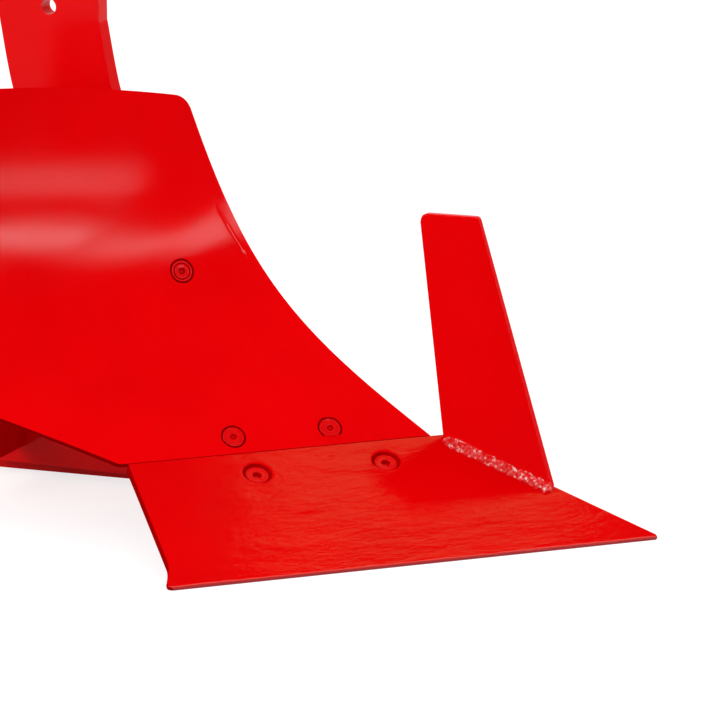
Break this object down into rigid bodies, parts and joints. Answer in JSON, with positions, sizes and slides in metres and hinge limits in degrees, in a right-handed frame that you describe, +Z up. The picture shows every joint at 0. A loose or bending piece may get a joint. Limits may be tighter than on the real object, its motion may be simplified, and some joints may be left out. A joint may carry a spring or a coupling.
{
  "type": "plough body",
  "caption": "Right-hand moldboard plough body for a 35 cm furrow: finned share, moldboard, frog, leg with beam head, landside, heel and stays.",
  "frame": {"origin": "on the ground under the centre of the body's bounding box", "axes": "+X the direction of travel, +Y the land side, +Z up; the body throws the furrow slice towards -Y"},
  "size_m": [0.9104, 0.558, 0.642],
  "materials": {
    "red_paint": "glossy",
    "red_paint_fasteners": "satin"
  },
  "bodies": {
    "root": {"share": "red_paint", "share_fin": "red_paint", "fin_weld": "red_paint", "moldboard": "red_paint", "frog": "red_paint", "frog_web": "red_paint", "upper_bracket": "red_paint", "leg": "red_paint", "landside": "red_paint", "heel_plate": "red_paint", "lower_stay": "red_paint", "upper_stay": "red_paint", "share_front_bolt": "red_paint_fasteners", "share_front_nut": "red_paint_fasteners", "share_rear_bolt": "red_paint_fasteners", "share_rear_nut": "red_paint_fasteners", "moldboard_front_bolt": "red_paint_fasteners", "moldboard_front_nut": "red_paint_fasteners", "moldboard_rear_bolt": "red_paint_fasteners", "moldboard_rear_nut": "red_paint_fasteners", "moldboard_upper_bolt": "red_paint_fasteners", "moldboard_upper_nut": "red_paint_fasteners", "lower_stay_bolt": "red_paint_fasteners", "lower_stay_nut": "red_paint_fasteners", "upper_stay_bolt": "red_paint_fasteners", "upper_stay_nut": "red_paint_fasteners", "landside_front_bolt": "red_paint_fasteners", "landside_front_nut": "red_paint_fasteners", "landside_middle_bolt": "red_paint_fasteners", "landside_middle_nut": "red_paint_fasteners", "landside_rear_bolt": "red_paint_fasteners", "landside_rear_nut": "red_paint_fasteners", "heel_rear_bolt": "red_paint_fasteners", "heel_rear_nut": "red_paint_fasteners", "heel_front_bolt": "red_paint_fasteners", "heel_front_nut": "red_paint_fasteners"}
  },
  "joints": []
}
